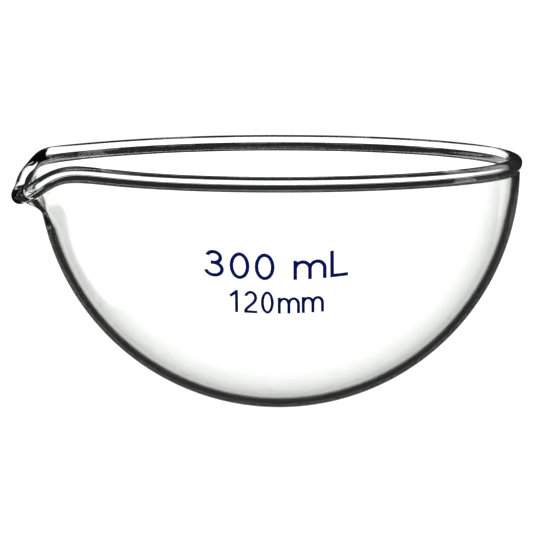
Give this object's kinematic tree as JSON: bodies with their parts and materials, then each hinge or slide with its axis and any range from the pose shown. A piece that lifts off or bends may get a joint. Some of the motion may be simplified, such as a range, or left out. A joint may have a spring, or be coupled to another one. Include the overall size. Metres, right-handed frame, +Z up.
{
  "type": "evaporating dish",
  "caption": "Round-bottom glass evaporating dish, 120 mm across, with a beaded rim, a pulled pouring spout and enamel size and capacity marks.",
  "frame": {"origin": "lowest point of the round bowl, on its vertical axis", "axes": "+Z up along the bowl's axis, the pouring spout points along -X, the printed marks are on the -Y side, turned a little towards the spout"},
  "size_m": [0.1266, 0.12, 0.0627],
  "materials": {
    "borosilicate_glass": "clear, fire-polished, glossy",
    "blue_enamel": "dark blue fired enamel film, slightly glossy"
  },
  "bodies": {
    "root": {"glass_dish": "borosilicate_glass", "capacity_mark": "blue_enamel", "size_mark": "blue_enamel"}
  },
  "joints": []
}
